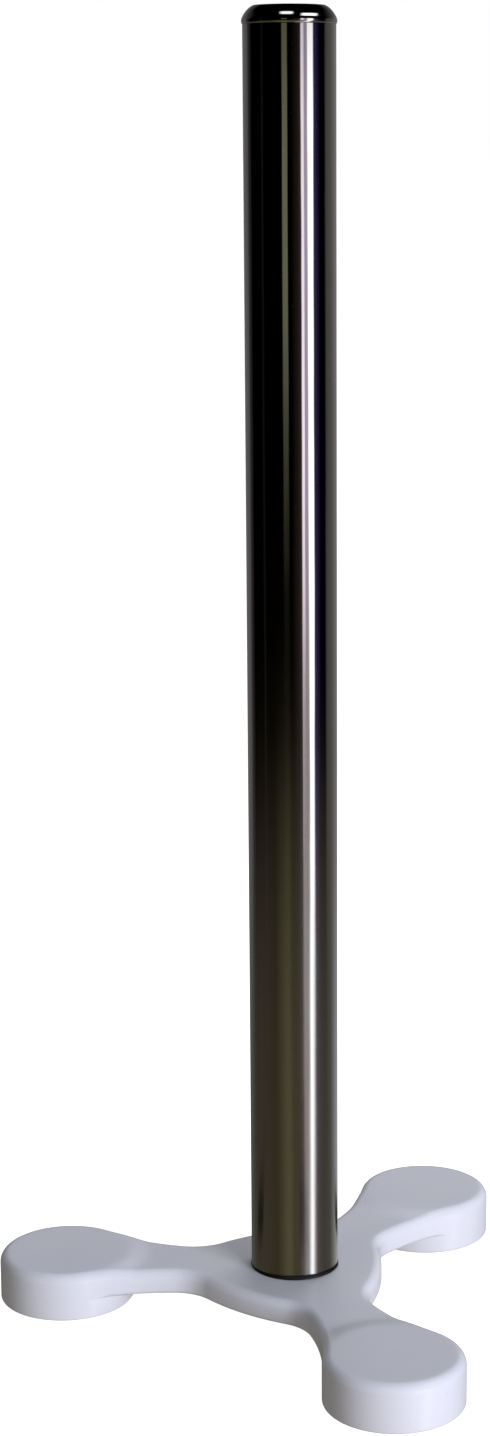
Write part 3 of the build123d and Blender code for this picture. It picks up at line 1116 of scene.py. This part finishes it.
grown(
    hexagon_bolt,
    thread,
    zinc,
    {
        "Start": (socket[0], socket[1], head_top + 2 * thread_pitch),
        "Length": bolt_high.z - head_top - 3 * thread_pitch,
        "Pitch": thread_pitch,
        "Middle Radius": thread_middle,
        "Depth": thread_depth,
    },
)
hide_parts("draw_bolt")
for washer in (plain_washer, spring_washer):
    washer.data.materials.append(zinc)
for piece in (plain_washer, spring_washer, hexagon_bolt):
    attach(piece, "root")

# ---- socket tube ----------------------------------------------------------------
# Straight welded stainless tube with a 1.2 mm wall, drawn through polishing mops along
# its length until it mirrors, so faint lines run up it and the mirror wavers a little.

tube_wall = 0.0012
tube_edge = 0.0002
tube_sides = 360
tube_corners = [
    (tube_radius, tube_low.z),
    (tube_radius, tube_high.z),
    (tube_radius - tube_wall, tube_high.z),
    (tube_radius - tube_wall, tube_low.z),
]
tube_profile = eased([(*corner, tube_edge) for corner in tube_corners])
steel_tube = solid("steel_tube", [turned(tube_profile, count=tube_sides)], sharp=30)

polished_tube, tree, shader, place = new_material("mopped_tube_steel")
marks = use_group(tree, handling, Place=place, Patch_Scale=16.0)


def drawn_out(tree, vector, stretch):
    """Coordinates shrunk along Z, so that a pattern on them is drawn out up the tube."""
    made = tree.nodes.new("ShaderNodeVectorMath")
    made.operation = "MULTIPLY"
    feed(tree, made.inputs[0], vector)
    made.inputs[1].default_value = (1.0, 1.0, 1.0 / stretch)
    return made.outputs[0]


fine_lines = noise(tree, drawn_out(tree, place, 140.0), 2600.0, detail=3.0)
broad_lines = noise(tree, drawn_out(tree, place, 60.0), 420.0, detail=2.0)
waver = noise(tree, drawn_out(tree, place, 9.0), 90.0, detail=2.0)
steel_shades = [(0.3, (0.57, 0.565, 0.565)), (0.5, (0.61, 0.61, 0.61)), (0.7, (0.585, 0.58, 0.575))]
feed(tree, shader.inputs["Base Color"], graded(tree, broad_lines, steel_shades))
height_above_floor = tree.nodes.new("ShaderNodeSeparateXYZ")
feed(tree, height_above_floor.inputs[0], place)
lower_haze = rising(tree, height_above_floor.outputs["Z"], 0.31, 0.08, 0.07, 0.185)
feed(tree, shader.inputs["Roughness"], calc(tree, "MULTIPLY_ADD", marks["Smudge"], 0.02, lower_haze))
shader.inputs["Metallic"].default_value = 1.0
shader.inputs["Anisotropic"].default_value = 1.0
shader.inputs["Anisotropic Rotation"].default_value = 0.25
waver_height = calc(tree, "MULTIPLY", waver, 12.0)
line_height = calc(tree, "MULTIPLY_ADD", broad_lines, 0.5, calc(tree, "MULTIPLY", fine_lines, 0.06))
bumped(tree, shader, calc(tree, "ADD", waver_height, line_height), 0.000006)
steel_tube.data.materials.append(polished_tube)
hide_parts("socket_tube")
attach(steel_tube, "root")

# ---- pole seat ------------------------------------------------------------------
# A black nylon cup, moulded in one piece, that rests on the plug and centres the foot
# of the pole.

seat_low, seat_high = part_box("pole_seat")
seat_radius = (seat_high.x - seat_low.x) / 2
pole_bore = 0.01295
seat_floor = 0.0040
seat_lead_in = 0.0020
seat_profile = eased(
    [
        (0, seat_low.z, 0),
        (seat_radius, seat_low.z, 0.0006),
        (seat_radius, seat_high.z, 0.0004),
        (pole_bore + seat_lead_in, seat_high.z, 0.0004),
        (pole_bore, seat_high.z - seat_lead_in, 0.0006),
        (pole_bore, seat_low.z + seat_floor, 0.0008),
        (0, seat_low.z + seat_floor, 0),
    ]
)
nylon_seat = solid("nylon_seat", [turned(seat_profile)], sharp=30)
nylon = moulded(
    "moulded_nylon",
    grain_scale=1200.0,
    colours=((0.024, 0.024, 0.026), (0.036, 0.036, 0.036)),
    roughnesses=(0.38, 0.52),
    grain_height=0.00003,
)
nylon_seat.data.materials.append(nylon)
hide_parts("pole_seat")
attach(nylon_seat, "root")

# ---- top collar -----------------------------------------------------------------
# Stainless collar turned from bar and mopped to a black mirror: a spigot in the tube, a
# bead just proud of the tube, a tapered side that rounds over, and a lip into the bore.

collar_low, collar_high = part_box("top_collar")
bulge_radius = (collar_high.x - collar_low.x) / 2
bulge_height = 0.0015
side_height = 0.0023
side_radius = 0.0193
side_lean = math.radians(24)
shoulder_height = 0.0052
shoulder_radius = 0.0175
crest_radius = 0.0147
lip_drop = 0.0005
collar_bore = 0.0142
ledge_radius = 0.0134
ledge_height = 0.0020
collar_spigot = tube_radius - tube_wall - 0.00005
collar_seat = tube_high.z
collar_sides = 256


def bend(centre, reach, start, end, steps):
    """Points of an elliptical arc in a profile, at angles in degrees."""
    angles = [math.radians(start + (end - start) * k / steps) for k in range(steps + 1)]
    return [(centre[0] + reach[0] * math.cos(a), centre[1] + reach[1] * math.sin(a)) for a in angles]


def leaning_arc(start, end, lean, steps):
    """An arc that sets off at a lean from upright: its points after the start, and its last lean."""
    inward = Vector((-math.cos(lean), -math.sin(lean)))
    reach = (end - start).length_squared / (2 * (end - start).dot(inward))
    centre = start + inward * reach
    last_lean = math.atan2(end.y - centre.y, end.x - centre.x)
    return bend(centre, (reach, reach), math.degrees(lean), math.degrees(last_lean), steps)[1:], last_lean


side = Vector((side_radius, collar_seat + side_height))
shoulder = Vector((shoulder_radius, collar_seat + shoulder_height))
crest = Vector((crest_radius, collar_high.z))
tapered_side, shoulder_lean = leaning_arc(side, shoulder, side_lean, 12)
rounded_shoulder, _ = leaning_arc(shoulder, crest, shoulder_lean, 14)
lip_level = collar_high.z - lip_drop
collar_profile = [
    (ledge_radius, collar_low.z + ledge_height),
    (ledge_radius, collar_low.z),
    (collar_spigot, collar_low.z),
    (collar_spigot, collar_seat),
]
collar_profile += bend(
    (tube_radius, collar_seat + bulge_height), (bulge_radius - tube_radius, bulge_height), -90, 0, 10
)
collar_profile.append(tuple(side))
collar_profile += tapered_side + rounded_shoulder
collar_profile += bend((crest_radius, lip_level), (crest_radius - collar_bore, lip_drop), 90, 180, 8)[1:]
collar_profile.append((collar_bore, collar_low.z + ledge_height))
steel_collar = solid("steel_collar", [turned(collar_profile, count=collar_sides)], sharp=35)

polished_collar = lathe_finished(
    "mopped_collar_steel",
    colours=((0.60, 0.59, 0.58), (0.55, 0.54, 0.53)),
    roughnesses=(0.05, 0.10),
    marks_per_metre=5000.0,
    mark_depth=0.0000015,
)
steel_collar.data.materials.append(polished_collar)
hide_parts("top_collar")
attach(steel_collar, "root")

# ---- collar liner ---------------------------------------------------------------
# A black nylon bush pressed into the collar, with an eased mouth. The pole slides
# through it without marking.

liner_low, liner_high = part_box("collar_liner")
liner_radius = (liner_high.x - liner_low.x) / 2
liner_mouth = 0.0006
liner_profile = eased(
    [
        (pole_bore, liner_low.z, 0.0003),
        (liner_radius, liner_low.z, 0.0002),
        (liner_radius, liner_high.z, 0.0002),
        (pole_bore + liner_mouth, liner_high.z, 0.0002),
        (pole_bore, liner_high.z - liner_mouth, 0.0004),
    ]
)
nylon_liner = solid("nylon_liner", [turned(liner_profile)], sharp=30)
nylon_liner.data.materials.append(nylon)
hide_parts("collar_liner")
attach(nylon_liner, "root")

# ---- size -----------------------------------------------------------------------
# The finished stand's box, over every piece that renders but the floor.

low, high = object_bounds()
